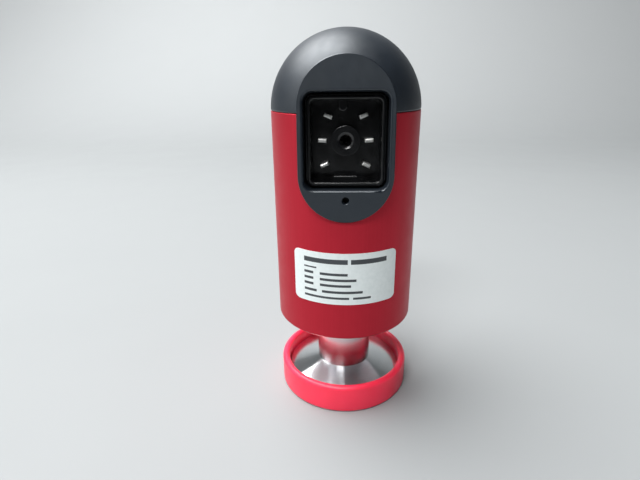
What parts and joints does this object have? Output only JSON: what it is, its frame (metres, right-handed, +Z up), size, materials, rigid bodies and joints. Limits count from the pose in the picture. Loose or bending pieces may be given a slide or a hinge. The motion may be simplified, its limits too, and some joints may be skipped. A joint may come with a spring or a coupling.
{
  "type": "vacuum gauge",
  "caption": "Upright round vacuum gauge with a domed head, a tilted plug face, a label and a capped small flange on a steel neck.",
  "frame": {"origin": "centre of the underside of the dust cap, on which the gauge stands", "axes": "+Z up along the axis of the neck and the housing, -Y out of the connector face, +X to its right"},
  "size_m": [0.0344, 0.0352, 0.09],
  "materials": {
    "red_cap": "soft gloss",
    "turned_steel": "turned, bright",
    "red_anodised": "satin anodised",
    "grey_plastic": "satin moulded",
    "black_plastic": "moulded",
    "contact_metal": "tinned",
    "bush_nickel": "nickel plated",
    "gold_pin": "plated",
    "board_green": "lacquered",
    "screw_steel": "plated",
    "aluminium": "turned",
    "ceramic": "fired",
    "filament_wire": "drawn",
    "chip_black": "moulded",
    "label_white": "printed film"
  },
  "bodies": {
    "gauge": {"flange_cap": "red_cap", "sensor_flange": "turned_steel", "sensor_header": "ceramic", "header_pins": "gold_pin", "filament": "filament_wire", "mounting_ring": "aluminium", "set_screw": "screw_steel", "housing_tube": "red_anodised", "dome_cap": "grey_plastic", "connector_insert": "black_plastic", "contact_blades": "contact_metal", "post_bush": "bush_nickel", "connector_board": "board_green", "board_screws": "screw_steel", "link_header": "chip_black", "link_pins": "gold_pin", "main_board": "board_green", "chips": "chip_black", "capacitors": "aluminium", "sensor_board": "board_green", "pin_sockets": "gold_pin", "adjust_switch": "chip_black", "name_label": "label_white"},
    "adjust_button": {"adjust_plunger": "chip_black"}
  },
  "joints": [
    {"name": "adjust_press", "type": "slide", "parent": "gauge", "child": "adjust_button", "axis": [0, 0.9962, -0.0872], "range_m": [0, 0.00025], "stiffness_N_per_m": 4000}
  ]
}
